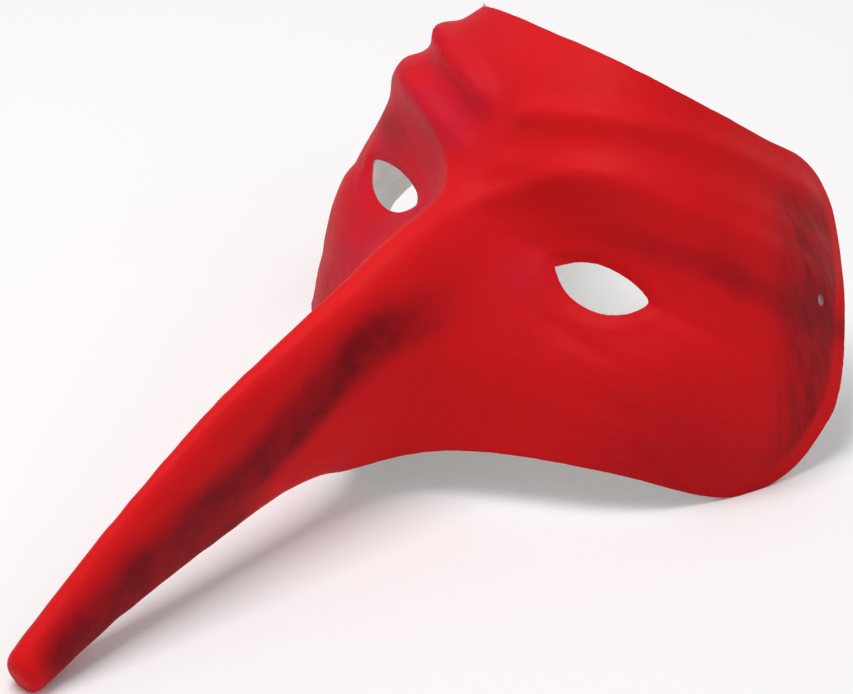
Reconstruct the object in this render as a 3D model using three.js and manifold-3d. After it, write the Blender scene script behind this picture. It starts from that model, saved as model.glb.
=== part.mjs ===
// A red carnival mask of the long-nosed bird kind, moulded in one piece of papier-mache.
// It is a half mask: a forehead with soft frown ridges, a brow, round eye sockets with almond eye
// holes, cheeks, and a long nose that hooks ahead and down. It is hollow from behind, nose and all.
//
// Millimetres, +Z up. The form is worked out upright, as the mask is worn, in three directions:
// side (towards the wearer's left), ahead (away from the face) and up. Their zero is midway between
// the eye holes. The finished shell is then laid down as a loose mask lies, tipped back on the tip of
// its nose and on the two lower corners of its cheeks, with its front towards -Y.

import * as THREE from 'three';
import { mergeVertices } from 'three/addons/utils/BufferGeometryUtils.js';
import Module from 'manifold-3d';

// Driving dimensions

const WALL = 2.2;

// The face is a dome. Its level sections are half ovals, squarer than an ellipse.
const FACE = {
  halfWidth: 74.2, crown: 7.3, depth: 60.6,
  squareness: 2.29, topSquareness: 3.15,
  top: 48.2, narrowFrom: -3, topNarrowing: 33.2, narrowPower: 1.35,
  bulgeFrom: 1.2, foreheadBulge: 11.2,
  chinFrom: -10.9, chinSpan: 25.7, lowNarrowing: 7.4, lowSetback: 3.1,
  bottom: -76, bottomRounding: 6, least: 8,
};

// The nose is a tapering horn on an arched centre line, blended into the face.
const NOSE = {
  rootAhead: -1.1, rootUp: -10.7, tipAhead: 80.5, tipUp: -134.6, arch: 7.5,
  rootHalfWidth: 12, rootHalfHeight: 25.8, tipHalfWidth: 5, tipHalfHeight: 5,
  slimming: 2.2, fullness: 1.4, tipRounding: 4,
  webUp: -30, webBlend: 36.2, bridgeUp: 5, bridgeBlend: 17.7,
};

// The outline of the rim in side view.
const RIM = {
  backAhead: -48.7, backUp: -3.5, backLean: 10.3,
  cheekAhead: -36.7, cheekUp: -31.3, cheekSlope: 12.5,
  lipAhead: 15, lipUp: -64.8, lipSlope: 56,
  topCorner: 17, cheekCorner: 18, lipCorner: 26,
};

// The rim is turned outwards in a narrow flare.
const FLARE = { width: 8, height: 1, topEnd: 0.29, lipEnd: 0.8, fade: 0.14 };

// Relief of the face. A crest starts at up = start on the middle line and climbs to the side.
const RIDGES = {
  start: 13.8, spacing: 12, climb: 0.36, halfWidth: 4.2,
  leftHeight: 1.2, rightHeight: 2.7, innerEnd: 8, outerEnd: 62,
};
const BROW = { height: 2.3, level: 27.7, reach: 22, halfWidth: 3.8, innerEnd: 8, outerEnd: 66 };
const SOCKET = { side: 33.9, up: 2.9, halfWidth: 16, halfUp: 11, halfDown: 16, depth: 3.7 };
const TEMPLE = { side: 60, up: -3, halfWidth: 14, halfHeight: 11, height: 1.8 };

// Eye holes: almonds, each with its outer corner a little higher than its inner one. They are cut by
// hand, so the wearer's left one is a little shorter.
const LEFT_EYE = {
  innerSide: 23, outerSide: 45.6, innerUp: -0.3, outerUp: 1.9, upperLid: 3.9, lowerLid: 6.5,
};
const RIGHT_EYE = {
  innerSide: 22.2, outerSide: 48.9, innerUp: -1.6, outerUp: 3.3, upperLid: 3.8, lowerLid: 6.3,
};

// The holes for the tie ribbon, one near the rim on each side.
const TIE = { ahead: -42.2, up: 20.4, radius: 1.5 };

// How finely the form is divided.
const COLUMNS = 96;
const NOSE_COLUMNS = 24;
const FACE_RINGS = 19;
const NOSE_RINGS = 11;
const TIP_RINGS = 3;
const NOSE_END = 66;
const NET = { sweeps: 250, crestCrowding: 1.3, rimCrowding: 1.25 };
const FLAT_DEPTH = 0.4;

// Small helpers

const bump = (x, centre, halfWidth) => Math.exp(-(((x - centre) / halfWidth) ** 2));

// Climbs smoothly from 0 to 1 between two values of x, which may be given in either order.
function ramp(from, to, x) {
  const share = THREE.MathUtils.clamp((x - from) / (to - from), 0, 1);
  return share * share * (3 - 2 * share);
}

function softMin(a, b, softness) {
  const h = THREE.MathUtils.clamp(0.5 + 0.5 * (b - a) / softness, 0, 1);
  return b * (1 - h) + a * h - softness * h * (1 - h);
}

const softMax = (a, b, softness) => -softMin(-a, -b, softness);

// The form of the mask: negative inside, zero on the outer skin, positive outside.

function faceDistance(side, ahead, up) {
  const raise = Math.max((up - FACE.narrowFrom) / (FACE.top - FACE.narrowFrom), 0);
  const drop = Math.max((FACE.chinFrom - up) / FACE.chinSpan, 0);
  const crownward = THREE.MathUtils.clamp((up - FACE.bulgeFrom) / (FACE.top - FACE.bulgeFrom), 0, 1);
  const narrowing = FACE.topNarrowing * raise ** FACE.narrowPower + FACE.lowNarrowing * drop ** 2;
  const halfWidth = Math.max(FACE.halfWidth - narrowing, FACE.least);
  const bulge = FACE.foreheadBulge * Math.sin(0.75 * Math.PI * crownward);
  const depth = Math.max(FACE.depth + bulge - FACE.lowSetback * drop, FACE.least);
  const n = THREE.MathUtils.lerp(FACE.squareness, FACE.topSquareness, crownward);
  const behind = ahead - (FACE.crown - FACE.depth);
  const reach = ((Math.abs(side) / halfWidth) ** n + (Math.abs(behind) / depth) ** n) ** (1 / n);
  return Math.hypot(side, behind) * (1 - 1 / Math.max(reach, 1e-6));
}

const noseStart = new THREE.Vector2(NOSE.rootAhead, NOSE.rootUp);
const noseRun = new THREE.Vector2(NOSE.tipAhead, NOSE.tipUp).sub(noseStart);
const noseLength = noseRun.length();
const noseAlong = noseRun.clone().divideScalar(noseLength);
const noseAcross = new THREE.Vector2(-noseAlong.y, noseAlong.x);
const noseArch = (t) => 4 * NOSE.arch * t * (1 - t);

function noseDistance(side, ahead, up) {
  const offset = new THREE.Vector2(ahead, up).sub(noseStart);
  const along = offset.dot(noseAlong);
  const t = THREE.MathUtils.clamp(along / noseLength, -0.6, 1.15);
  const taper = THREE.MathUtils.clamp(t, 0, 1.1);
  const belly = 4 * taper * (1 - taper);
  const across = offset.dot(noseAcross) - noseArch(t);
  const halfWidth = THREE.MathUtils.lerp(NOSE.rootHalfWidth, NOSE.tipHalfWidth, taper)
    - NOSE.slimming * belly;
  const halfHeight = THREE.MathUtils.lerp(NOSE.rootHalfHeight, NOSE.tipHalfHeight, taper)
    + NOSE.fullness * belly;
  const reach = Math.max(Math.hypot(side / halfWidth, across / halfHeight), 1e-6);
  const skin = Math.hypot(side, across) * (1 - 1 / reach);
  const blunt = softMax(skin, along - noseLength, NOSE.tipRounding);
  return softMax(blunt, -(along + 25), 4);
}

function relief(side, up) {
  const x = Math.abs(side);
  const rightward = ramp(20, -20, side);
  const ridgeHeight = THREE.MathUtils.lerp(RIDGES.leftHeight, RIDGES.rightHeight, rightward);
  const ridgeSpan = ramp(0, RIDGES.innerEnd, x) * ramp(RIDGES.outerEnd + 10, RIDGES.outerEnd, x);
  const crest = RIDGES.start + RIDGES.climb * x;
  const ridges = bump(up, crest, RIDGES.halfWidth)
    + bump(up, crest + RIDGES.spacing, RIDGES.halfWidth);
  const browCrest = BROW.level * (1 - Math.exp(-x / BROW.reach));
  const browSpan = ramp(0, BROW.innerEnd, x) * ramp(BROW.outerEnd + 8, BROW.outerEnd - 8, x);
  const brow = BROW.height * browSpan * bump(up, browCrest, BROW.halfWidth);
  const fromEye = up - SOCKET.up;
  const halfHeight = fromEye > 0 ? SOCKET.halfUp : SOCKET.halfDown;
  const socketReach = ((x - SOCKET.side) / SOCKET.halfWidth) ** 2 + (fromEye / halfHeight) ** 2;
  const socket = SOCKET.depth * Math.exp(-(socketReach ** 1.3));
  const temple = TEMPLE.height * bump(x, TEMPLE.side, TEMPLE.halfWidth)
    * bump(up, TEMPLE.up, TEMPLE.halfHeight);
  return ridgeHeight * ridgeSpan * ridges + brow + temple - socket;
}

function formDistance(side, ahead, up) {
  const skin = faceDistance(side, ahead, up) - relief(side, up);
  const face = softMax(skin, FACE.bottom - up, FACE.bottomRounding);
  const blend = THREE.MathUtils.lerp(NOSE.webBlend, NOSE.bridgeBlend, ramp(NOSE.webUp, NOSE.bridgeUp, up));
  return softMin(face, noseDistance(side, ahead, up), blend);
}

function outwardNormal(p) {
  const e = 0.4;
  const d = formDistance;
  return new THREE.Vector3(
    d(p.x + e, p.y, p.z) - d(p.x - e, p.y, p.z),
    d(p.x, p.y + e, p.z) - d(p.x, p.y - e, p.z),
    d(p.x, p.y, p.z + e) - d(p.x, p.y, p.z - e),
  ).normalize();
}

// Points are held as (side, ahead, up) until the shell is laid down.

// The point where a ray from inside the form meets its outer skin.
function skinPoint(from, direction) {
  const at = (distance) => from.clone().addScaledVector(direction, distance);
  const outside = (p) => formDistance(p.x, p.y, p.z) > 0;
  const stride = 2.5;
  let far = stride;
  while (!outside(at(far)) && far < 200) far += stride;
  let near = far - stride;
  for (let i = 0; i < 22; i++) {
    const middle = (near + far) / 2;
    if (outside(at(middle))) far = middle;
    else near = middle;
  }
  return at(far);
}

// Picks points along a line of points, at given shares of its length.
function spacedAlong(points, shares) {
  const lengths = [0];
  for (let i = 1; i < points.length; i++) {
    lengths.push(lengths[i - 1] + points[i].distanceTo(points[i - 1]));
  }
  const whole = lengths.at(-1);
  return shares.map((share) => {
    const target = share * whole;
    let i = 1;
    while (i < points.length - 1 && lengths[i] < target) i++;
    const step = lengths[i] - lengths[i - 1];
    const t = step > 0 ? (target - lengths[i - 1]) / step : 0;
    return points[i - 1].clone().lerp(points[i], THREE.MathUtils.clamp(t, 0, 1));
  });
}

const evenShares = (count) => Array.from({ length: count + 1 }, (_, i) => i / count);

// The rim

// A path through corner points, each rounded by its own length.
function roundedPath(corners) {
  const path = new THREE.Path();
  path.moveTo(corners[0].at.x, corners[0].at.y);
  for (let i = 1; i < corners.length - 1; i++) {
    const { at, rounding } = corners[i];
    const before = corners[i - 1].at.clone().sub(at).setLength(rounding).add(at);
    const after = corners[i + 1].at.clone().sub(at).setLength(rounding).add(at);
    path.lineTo(before.x, before.y);
    path.quadraticCurveTo(at.x, at.y, after.x, after.y);
  }
  path.lineTo(corners.at(-1).at.x, corners.at(-1).at.y);
  return path;
}

function lineCrossing(p, angleP, q, angleQ) {
  const a = new THREE.Vector2(Math.cos(angleP), Math.sin(angleP));
  const b = new THREE.Vector2(Math.cos(angleQ), Math.sin(angleQ));
  const t = (q.clone().sub(p).cross(b)) / a.cross(b);
  return p.clone().addScaledVector(a, t);
}

// The rim in side view, from the top middle, back, down the side and ahead under the cheek.
function sideOutline() {
  const radians = THREE.MathUtils.degToRad;
  const top = new THREE.Vector2(60, FACE.top);
  const back = new THREE.Vector2(RIM.backAhead, RIM.backUp);
  const cheek = new THREE.Vector2(RIM.cheekAhead, RIM.cheekUp);
  const lip = new THREE.Vector2(RIM.lipAhead, RIM.lipUp);
  const backAngle = radians(90 + RIM.backLean);
  const cheekAngle = radians(-RIM.cheekSlope);
  const lipAngle = radians(-RIM.lipSlope);
  const topCorner = lineCrossing(top, 0, back, backAngle);
  const cheekCorner = lineCrossing(back, backAngle, cheek, cheekAngle);
  const lipCorner = lineCrossing(cheek, cheekAngle, lip, lipAngle);
  const end = lip.clone().add(new THREE.Vector2(Math.cos(lipAngle), Math.sin(lipAngle)).setLength(60));
  return roundedPath([
    { at: top },
    { at: topCorner, rounding: RIM.topCorner },
    { at: cheekCorner, rounding: RIM.cheekCorner },
    { at: lipCorner, rounding: RIM.lipCorner },
    { at: end },
  ]);
}

// The rim on the skin of the form, on the wearer's left, evenly spaced from top to bottom middle.
function rimPoints() {
  const outline = sideOutline().getSpacedPoints(800);
  const sideways = new THREE.Vector3(1, 0, 0);
  const onSkin = outline
    .filter((p) => formDistance(0, p.x, p.y) < 0)
    .map((p) => skinPoint(new THREE.Vector3(0, p.x, p.y), sideways));
  onSkin[0].x = 0;
  onSkin.at(-1).x = 0;
  return spacedAlong(onSkin, evenShares(COLUMNS / 2));
}

// The grid of the outer skin: rings from the tip of the nose to the rim

function noseCentre(along) {
  const t = along / noseLength;
  const p = noseStart.clone().addScaledVector(noseAlong, along).addScaledVector(noseAcross, noseArch(t));
  return new THREE.Vector3(0, p.x, p.y);
}

const noseHeading = (along) => noseCentre(along + 1).sub(noseCentre(along - 1)).normalize();

// A point of the nose's skin, at an angle round it from its crest towards the left.
// A swing above zero turns the ray from square to the nose towards its tip.
function nosePoint(along, angle, swing) {
  const heading = noseHeading(along);
  const upward = new THREE.Vector3(0, -heading.z, heading.y);
  const direction = new THREE.Vector3(Math.sin(angle), 0, 0)
    .addScaledVector(upward, Math.cos(angle))
    .multiplyScalar(Math.cos(swing))
    .addScaledVector(heading, Math.sin(swing));
  return skinPoint(noseCentre(along), direction);
}

// Half a ring of the nose, from its crest down its left side to its underside.
function noseHalfRing(along, swing, columns) {
  return evenShares(columns / 2).map((share) => nosePoint(along, Math.PI * share ** NET.crestCrowding, swing));
}

function noseHalfRings() {
  const tipCentre = noseLength - NOSE.tipHalfWidth;
  const swings = evenShares(TIP_RINGS + 1).slice(1, -1).reverse();
  const tip = swings.map((share) => noseHalfRing(tipCentre, share * Math.PI / 2, NOSE_COLUMNS));
  const body = evenShares(NOSE_RINGS).slice(0, -1)
    .map((share) => noseHalfRing(THREE.MathUtils.lerp(tipCentre, NOSE_END, share), 0, NOSE_COLUMNS));
  return [...tip, ...body];
}

// Moves a point square onto the skin.
function settle(p) {
  for (let i = 0; i < 3; i++) {
    p.addScaledVector(outwardNormal(p), -0.8 * formDistance(p.x, p.y, p.z));
  }
  return p;
}

// The left half of the face is a net, tied to the end of the nose and to the rim. Each of its
// knots is drawn to the middle of its neighbours and back onto the skin until the net lies even.
function faceHalfRings() {
  const half = COLUMNS / 2;
  const rim = rimPoints();
  const start = noseHalfRing(NOSE_END, 0, COLUMNS);
  const rows = evenShares(FACE_RINGS)
    .map((share) => start.map((p, j) => p.clone().lerp(rim[j], share)));
  for (let sweep = 0; sweep < NET.sweeps; sweep++) {
    for (let i = 1; i < FACE_RINGS; i++) {
      for (let j = 0; j <= half; j++) {
        const below = j < half ? rows[i][j + 1] : mirrored(rows[i][j - 1]);
        const above = j > 0 ? rows[i][j - 1] : mirrored(rows[i][j + 1]);
        const middle = below.clone().add(above).add(rows[i - 1][j]).add(rows[i + 1][j]);
        rows[i][j].copy(settle(middle.divideScalar(4)));
      }
    }
  }
  const shares = evenShares(FACE_RINGS).map((share) => 1 - (1 - share) ** NET.rimCrowding);
  const columns = start.map((_, j) => spacedAlong(rows.map((row) => row[j]), shares));
  return shares.map((_, i) => columns.map((column) => column[i]));
}

const mirrored = (p) => new THREE.Vector3(-p.x, p.y, p.z);

// Completes half a ring with its mirror image, each point brought to the skin of its own side.
function wholeRing(halfRing) {
  const otherHalf = halfRing.slice(1, -1).reverse().map(mirrored);
  return [...halfRing, ...otherHalf].map((p) => settle(p));
}

// How far the flare at the rim stands out at each ring of the face, by its distance from the rim.
function flared(rings, normals) {
  const count = rings[0].length;
  return rings.map((ring, i) => ring.map((p, j) => {
    let fromRim = 0;
    for (let k = i; k < rings.length - 1; k++) fromRim += rings[k][j].distanceTo(rings[k + 1][j]);
    const share = Math.abs(1 - 2 * j / count);
    const along = 1 - share;
    const span = ramp(FLARE.topEnd, FLARE.topEnd + FLARE.fade, along)
      * ramp(FLARE.lipEnd, FLARE.lipEnd - FLARE.fade, along);
    const rise = FLARE.height * span * Math.max(1 - fromRim / FLARE.width, 0) ** 2;
    return p.clone().addScaledVector(normals[i][j], rise);
  }));
}

// The closed shell

// Triangles between two rings, where the second has as many points as the first or a whole
// number of times more.
function stitch(faces, first, firstCount, second, secondCount) {
  const times = secondCount / firstCount;
  const half = Math.floor(times / 2);
  for (let j = 0; j < firstCount; j++) {
    const a = first + j;
    const b = first + (j + 1) % firstCount;
    const c = (k) => second + (j * times + k) % secondCount;
    for (let k = 0; k < half; k++) faces.push([a, c(k), c(k + 1)]);
    faces.push([a, c(half), b]);
    for (let k = half; k < times; k++) faces.push([b, c(k), c(k + 1)]);
  }
}

// From the three directions of the mask to x, y and z.
const toXYZ = (p) => [p.x, -p.y, p.z];

// Outer skin, inner skin and the edge between them, as one closed surface.
function shellGeometry() {
  const noseRings = noseHalfRings().map(wholeRing);
  const faceRings = faceHalfRings().map(wholeRing);
  const noseNormals = noseRings.map((ring) => ring.map(outwardNormal));
  const faceNormals = faceRings.map((ring) => ring.map(outwardNormal));
  const outer = [...noseRings, ...flared(faceRings, faceNormals)];
  const normals = [...noseNormals, ...faceNormals];
  const inner = outer.map((ring, i) => ring.map((p, j) => p.clone().addScaledVector(normals[i][j], -WALL)));
  const heading = noseHeading(noseLength - NOSE.tipHalfWidth);
  const tip = skinPoint(noseCentre(noseLength - NOSE.tipHalfWidth), heading);
  const innerTip = tip.clone().addScaledVector(heading, -WALL);

  const points = [tip, innerTip];
  const faces = [];
  const skin = (rings, pole) => {
    const firsts = rings.map((ring) => {
      points.push(...ring);
      return points.length - ring.length;
    });
    const sheet = [];
    for (let j = 0; j < rings[0].length; j++) {
      sheet.push([pole, firsts[0] + j, firsts[0] + (j + 1) % rings[0].length]);
    }
    for (let i = 1; i < rings.length; i++) {
      stitch(sheet, firsts[i - 1], rings[i - 1].length, firsts[i], rings[i].length);
    }
    return { sheet, last: firsts.at(-1) };
  };
  const outside = skin(outer, 0);
  const inside = skin(inner, 1);
  faces.push(...outside.sheet.map(([a, b, c]) => [a, c, b]), ...inside.sheet);
  stitch(faces, inside.last, COLUMNS, outside.last, COLUMNS);

  const geometry = new THREE.BufferGeometry();
  geometry.setAttribute('position', new THREE.Float32BufferAttribute(points.flatMap(toXYZ), 3));
  geometry.setIndex(faces.flat());
  return geometry;
}

// Cutters

const wasm = await Module();
wasm.setup();

function solid(geometry) {
  const bare = geometry.clone();
  bare.deleteAttribute('normal');
  bare.deleteAttribute('uv');
  const merged = mergeVertices(bare, 1e-4);
  return new wasm.Manifold(new wasm.Mesh({
    numProp: 3,
    vertProperties: new Float32Array(merged.attributes.position.array),
    triVerts: new Uint32Array(merged.index.array),
  }));
}

// An almond, pointed at both corners, as a rod that runs ahead through the wall.
function eyeCutter(eye, sign) {
  const across = eye.outerSide - eye.innerSide;
  const tilt = Math.atan2(eye.outerUp - eye.innerUp, across);
  const at = (share, rise) => {
    const p = new THREE.Vector2(share * across, rise).rotateAround(new THREE.Vector2(), tilt);
    return [sign * (eye.innerSide + p.x), eye.innerUp + p.y];
  };
  const upper = eye.upperLid * 4 / 3;
  const lower = -eye.lowerLid * 4 / 3;
  const almond = new THREE.Shape();
  almond.moveTo(...at(0, 0));
  almond.bezierCurveTo(...at(0.2, lower), ...at(0.8, lower), ...at(1, 0));
  almond.bezierCurveTo(...at(0.75, upper), ...at(0.2, upper), ...at(0, 0));
  const rod = new THREE.ExtrudeGeometry(almond, { depth: 80, bevelEnabled: false, curveSegments: 12 });
  rod.translate(0, 0, -40);
  rod.rotateX(Math.PI / 2);
  return rod;
}

// A thin rod across the mask, through the wall beside the rim.
function tieCutter(sign) {
  const rod = new THREE.CylinderGeometry(TIE.radius, TIE.radius, 40, 12);
  rod.rotateZ(Math.PI / 2);
  rod.translate(sign * FACE.halfWidth, -TIE.ahead, TIE.up);
  return rod;
}

// Laying the shell down

// The angle by which the mask tips back so that its nose and its cheeks touch the table together.
function tipBackAngle(geometry) {
  const position = geometry.attributes.position;
  const lowest = (angle, isInPlace) => {
    let low = Infinity;
    for (let i = 0; i < position.count; i++) {
      const ahead = -position.getY(i);
      if (!isInPlace(ahead)) continue;
      low = Math.min(low, ahead * Math.sin(angle) + position.getZ(i) * Math.cos(angle));
    }
    return low;
  };
  let small = THREE.MathUtils.degToRad(20);
  let large = THREE.MathUtils.degToRad(70);
  for (let i = 0; i < 40; i++) {
    const middle = (small + large) / 2;
    const noseHeight = lowest(middle, (ahead) => ahead > 30);
    const cheekHeight = lowest(middle, (ahead) => ahead < 0);
    if (noseHeight < cheekHeight) small = middle;
    else large = middle;
  }
  return small;
}

function maskGeometry() {
  const shell = shellGeometry();
  const angle = tipBackAngle(shell);
  const parts = [
    shell, eyeCutter(LEFT_EYE, 1), eyeCutter(RIGHT_EYE, -1), tieCutter(1), tieCutter(-1),
  ];
  for (const part of parts) part.rotateX(-angle);
  const box = new THREE.Box3().setFromBufferAttribute(shell.attributes.position);
  const middle = box.getCenter(new THREE.Vector3());
  for (const part of parts) part.translate(-middle.x, -middle.y, -box.min.z - FLAT_DEPTH);
  const table = new THREE.BoxGeometry(500, 500, 40).translate(0, 0, -20);
  const body = [...parts.slice(1), table]
    .reduce((rest, cutter) => rest.subtract(solid(cutter)), solid(shell));
  const { vertProperties, triVerts } = body.getMesh();
  const geometry = new THREE.BufferGeometry();
  geometry.setAttribute('position', new THREE.BufferAttribute(vertProperties, 3));
  geometry.setIndex(new THREE.BufferAttribute(triVerts, 1));
  geometry.computeVertexNormals();
  return geometry;
}

const redPaint = new THREE.MeshStandardMaterial({ color: 0xc81e25, roughness: 0.45, metalness: 0 });

const mask = new THREE.Mesh(maskGeometry(), redPaint);
mask.name = 'mask_shell';

const group = new THREE.Group();
group.add(mask);

export default group;
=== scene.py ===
# %% [markdown]
# # A red carnival mask with a long nose
# The real mask is papier-mache, pressed in a mould, trimmed, pierced for the eyes and brushed with
# satin red paint. The frame below brings in the plain solid of the mask. This lesson turns it into
# the finished piece: a fine, even mesh, the hand-made relief, thin rounded edges and the paint.

# %% Load the frame
import math

import bpy
import numpy as np
from mathutils import Matrix, Vector
from mathutils.kdtree import KDTree


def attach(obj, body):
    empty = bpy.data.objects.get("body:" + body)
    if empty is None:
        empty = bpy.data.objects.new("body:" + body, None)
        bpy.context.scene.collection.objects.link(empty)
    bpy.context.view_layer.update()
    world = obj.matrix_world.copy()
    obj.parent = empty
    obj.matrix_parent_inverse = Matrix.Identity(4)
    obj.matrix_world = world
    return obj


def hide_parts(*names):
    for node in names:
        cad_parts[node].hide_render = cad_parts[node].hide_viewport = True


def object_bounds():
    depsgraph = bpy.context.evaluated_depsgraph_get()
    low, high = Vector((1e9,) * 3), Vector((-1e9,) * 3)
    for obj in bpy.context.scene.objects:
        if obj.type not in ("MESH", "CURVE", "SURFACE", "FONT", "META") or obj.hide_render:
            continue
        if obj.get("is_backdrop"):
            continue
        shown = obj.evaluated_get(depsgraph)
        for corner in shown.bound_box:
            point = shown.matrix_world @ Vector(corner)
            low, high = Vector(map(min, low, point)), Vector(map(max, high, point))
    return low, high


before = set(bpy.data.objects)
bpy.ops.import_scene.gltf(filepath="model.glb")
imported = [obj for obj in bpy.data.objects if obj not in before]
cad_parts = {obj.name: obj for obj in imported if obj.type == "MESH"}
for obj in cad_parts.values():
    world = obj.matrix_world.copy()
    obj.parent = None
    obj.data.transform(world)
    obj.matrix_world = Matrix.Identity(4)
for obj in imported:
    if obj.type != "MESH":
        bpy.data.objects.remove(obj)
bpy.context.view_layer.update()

# %% [markdown]
# ## Worn and lying
# A mask is easiest to shape as it is worn, so it is modelled upright: x to the wearer's left, y to
# the back, z up, from the point midway between the eye holes. Sizes are given in millimetres as
# side, ahead and up. At the end one turn and one shift lay it down on its nose and its cheeks.

# %% Laying down
TIP_BACK = math.radians(43.229)
EYES_BEHIND = 40.94
EYES_ABOVE = 46.45
lay_down = Matrix.Translation((0, EYES_BEHIND / 1000, EYES_ABOVE / 1000))
lay_down = lay_down @ Matrix.Rotation(-TIP_BACK, 4, "X")


def upright(side_ahead_up):
    side, ahead, up = side_ahead_up
    return Vector((side, -ahead, up)) / 1000


def read_worn(thing):
    flat = np.empty(len(thing.data.vertices) * 3)
    thing.data.vertices.foreach_get("co", flat)
    return flat.reshape(-1, 3) * [1000, -1000, 1000]


def write_worn(thing, worn):
    thing.data.vertices.foreach_set("co", (worn * [0.001, -0.001, 0.001]).ravel())
    thing.data.update()


# %% [markdown]
# ## The camera
# The picture was taken from the wearer's left, level with the eyes of the upright mask. The lying
# mask is seen along the same line, so the camera looks down on it. It is set first, because it is
# the yardstick for everything else. Its line and distance were found by fitting the outline and the
# holes of the mask to the picture. The long lens keeps the near and the far side alike in size.

# %% Where the camera looks from
PICTURE_WIDTH, PICTURE_HEIGHT = 853, 694
VIEW_TURN = math.radians(38.95)
VIEW_RISE = math.radians(1.47)
VIEW_ROLL = math.radians(-26.37)
DISTANCE = 841.4
PIXELS_PER_MM = 4.233
EYES_IN_PICTURE = (495.2, 235.4)
SENSOR = 36.0

towards = np.array([
    math.sin(VIEW_TURN) * math.cos(VIEW_RISE),
    math.cos(VIEW_TURN) * math.cos(VIEW_RISE),
    math.sin(VIEW_RISE),
])
level = np.array([math.cos(VIEW_TURN), -math.sin(VIEW_TURN), 0])
plumb = np.array([
    -math.sin(VIEW_TURN) * math.sin(VIEW_RISE),
    -math.cos(VIEW_TURN) * math.sin(VIEW_RISE),
    math.cos(VIEW_RISE),
])
to_right = math.cos(VIEW_ROLL) * level - math.sin(VIEW_ROLL) * plumb
to_top = math.sin(VIEW_ROLL) * level + math.cos(VIEW_ROLL) * plumb
slide_right = (EYES_IN_PICTURE[0] - PICTURE_WIDTH / 2) / PIXELS_PER_MM
slide_up = (PICTURE_HEIGHT / 2 - EYES_IN_PICTURE[1]) / PIXELS_PER_MM
eye_point = towards * DISTANCE - to_right * slide_right - to_top * slide_up

# %% Camera
camera_data = bpy.data.cameras.new("camera")
camera_data.sensor_width = SENSOR
camera_data.lens = PIXELS_PER_MM * DISTANCE / PICTURE_WIDTH * SENSOR
camera_data.clip_start = 0.01
camera = bpy.data.objects.new("camera", camera_data)
bpy.context.scene.collection.objects.link(camera)
# The axes have a length of 1, and upright would shrink them from millimetres to metres.
view_axes = Matrix([upright(axis * 1000) for axis in (to_right, to_top, towards)]).transposed()
camera.matrix_world = lay_down @ Matrix.Translation(upright(eye_point)) @ view_axes.to_4x4()
bpy.context.scene.camera = camera
print("camera at", [round(v, 3) for v in camera.matrix_world.translation],
      "lens", round(camera_data.lens, 1))

# %% [markdown]
# ## The form
# A sculptor's first question is where the skin lies. Here one function answers it: it gives the
# distance from any point to the outer skin, negative inside. A dome with rounded corners makes the
# face, a tapering horn on an arched line makes the nose, and a soft minimum joins them, as a thumb
# smooths clay into a fillet. The driving sizes are those of the solid. A pair of numbers for an end
# or a fade says where a wave is gone and where it is full.

# %% Sizes of the form, in millimetres
FACE = dict(half_width=74.2, crown=7.3, depth=60.6, squareness=2.29, top_squareness=3.15,
            top=48.2, narrow_from=-3, top_narrowing=33.2, narrow_power=1.35,
            bulge_from=1.2, forehead_bulge=11.2, chin_from=-10.9, chin_span=25.7,
            low_narrowing=7.4, low_setback=3.1, bottom=-76, bottom_rounding=6, least=8,
            bulge_wave=0.75, closed_above=60, closed_rounding=4)
NOSE = dict(root=(-1.1, -10.7), tip=(80.5, -134.6), arch=7.5, root_size=(12, 25.8), tip_size=(5, 5),
            slimming=2.2, fullness=1.4, tip_rounding=3, into_face=25, inner_rounding=4,
            arched_share=(-0.6, 1.15), tapered_share=(0, 1.1),
            web_up=-30, web_blend=36.2, bridge_up=5, bridge_blend=17.7)
RIDGES = dict(start=12.8, spacing=12.8, climb=0.36, half_width=3.6, left=1.2, right=2.4,
              upper_share=1.4, change_over=20, ends=(68, 56))
BROW = dict(height=2.3, level=27.7, reach=22, half_width=3.8, ends=(69, 56))
FURROW = 8
RIM_FADE = (-56, -36)
SOCKET = dict(side=33.9, up=2.9, half_width=16, half_up=11, half_down=16, depth=3.7, fullness=1.3)
TEMPLE = dict(side=60, up=-3, half_width=14, half_height=11, height=1.8)
TINY = 1e-6


# %% Small helpers for soft shapes
def bump(x, centre, half_width):
    return np.exp(-((x - centre) / half_width) ** 2)


def ramp(start, end, x):
    t = np.clip((x - start) / (end - start), 0, 1)
    return t * t * (3 - 2 * t)


def blend(a, b, share):
    return a + (b - a) * share


def soft_min(a, b, softness):
    h = np.clip(0.5 + 0.5 * (b - a) / softness, 0, 1)
    return blend(b, a, h) - softness * h * (1 - h)


def soft_max(a, b, softness):
    return -soft_min(-a, -b, softness)


# %% The dome of the face
def face_distance(side, ahead, up):
    raised = np.maximum((up - FACE["narrow_from"]) / (FACE["top"] - FACE["narrow_from"]), 0)
    dropped = np.maximum((FACE["chin_from"] - up) / FACE["chin_span"], 0)
    crownward = np.clip((up - FACE["bulge_from"]) / (FACE["top"] - FACE["bulge_from"]), 0, 1)
    narrowing = FACE["top_narrowing"] * raised ** FACE["narrow_power"]
    narrowing = narrowing + FACE["low_narrowing"] * dropped ** 2
    half_width = np.maximum(FACE["half_width"] - narrowing, FACE["least"])
    bulge = FACE["forehead_bulge"] * np.sin(FACE["bulge_wave"] * np.pi * crownward)
    depth = np.maximum(FACE["depth"] + bulge - FACE["low_setback"] * dropped, FACE["least"])
    n = blend(FACE["squareness"], FACE["top_squareness"], crownward)
    behind = ahead - (FACE["crown"] - FACE["depth"])
    reach = ((np.abs(side) / half_width) ** n + (np.abs(behind) / depth) ** n) ** (1 / n)
    return np.hypot(side, behind) * (1 - 1 / np.maximum(reach, TINY))


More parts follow.
